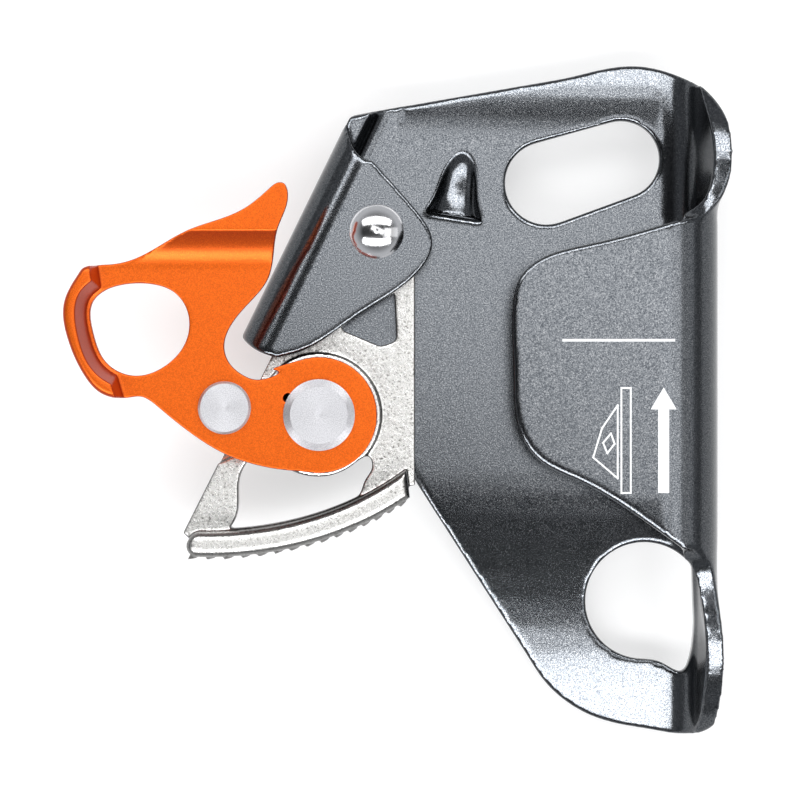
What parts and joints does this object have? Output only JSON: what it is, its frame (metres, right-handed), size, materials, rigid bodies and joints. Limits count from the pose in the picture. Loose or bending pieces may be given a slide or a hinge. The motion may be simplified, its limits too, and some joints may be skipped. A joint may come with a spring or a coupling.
{
  "type": "chest ascender",
  "caption": "Compact chest rope ascender: folded metal frame with two eyes, a toothed swinging cam and an orange catch with a finger ring, shown with the cam open.",
  "frame": {"origin": "centre of the whole part's box in X and Y, at the lowest point in Z", "axes": "+Y along the rope, towards the upper eye; +X towards the rope channel's closed wall; +Z out of the frame's front; it lies on its back"},
  "size_m": [0.129, 0.1314, 0.0304],
  "materials": {
    "frame_alloy": "dark grey anodised, satin, fine metallic grain",
    "cam_steel": "nickel-plated casting, slightly rough",
    "catch_alloy": "orange anodised, satin",
    "rivet_steel": "polished stainless steel",
    "turned_steel": "turned, fine rings",
    "bronze": "plain sleeve",
    "spring_steel": "drawn wire",
    "washer_steel": "plain"
  },
  "bodies": {
    "frame": {"frame": "frame_alloy", "cam_axle_rivet": "rivet_steel", "cam_axle_bushing": "bronze", "cam_front_washer": "washer_steel", "cam_rear_washer": "washer_steel"},
    "cam": {"cam": "cam_steel", "cam_spring": "spring_steel", "catch_pivot_rivet": "turned_steel", "catch_pivot_bushing": "bronze", "catch_tail_washer": "washer_steel", "catch_washer": "washer_steel"},
    "catch": {"catch": "catch_alloy", "stop_pin": "turned_steel", "catch_spring": "spring_steel"}
  },
  "joints": [
    {"name": "cam_swing", "type": "hinge", "parent": "frame", "child": "cam", "pos_m": [-0.00439, 0.03264, 0.01364], "axis": [0, 0, 1], "range_deg": [0, 80]},
    {"name": "catch_swing", "type": "hinge", "parent": "cam", "child": "catch", "pos_m": [-0.01549, -0.00286, 0.02299], "axis": [0, 0, 1], "range_deg": [0, 20], "stiffness_Nm_per_rad": 0.03, "springref_deg": -17.19}
  ]
}
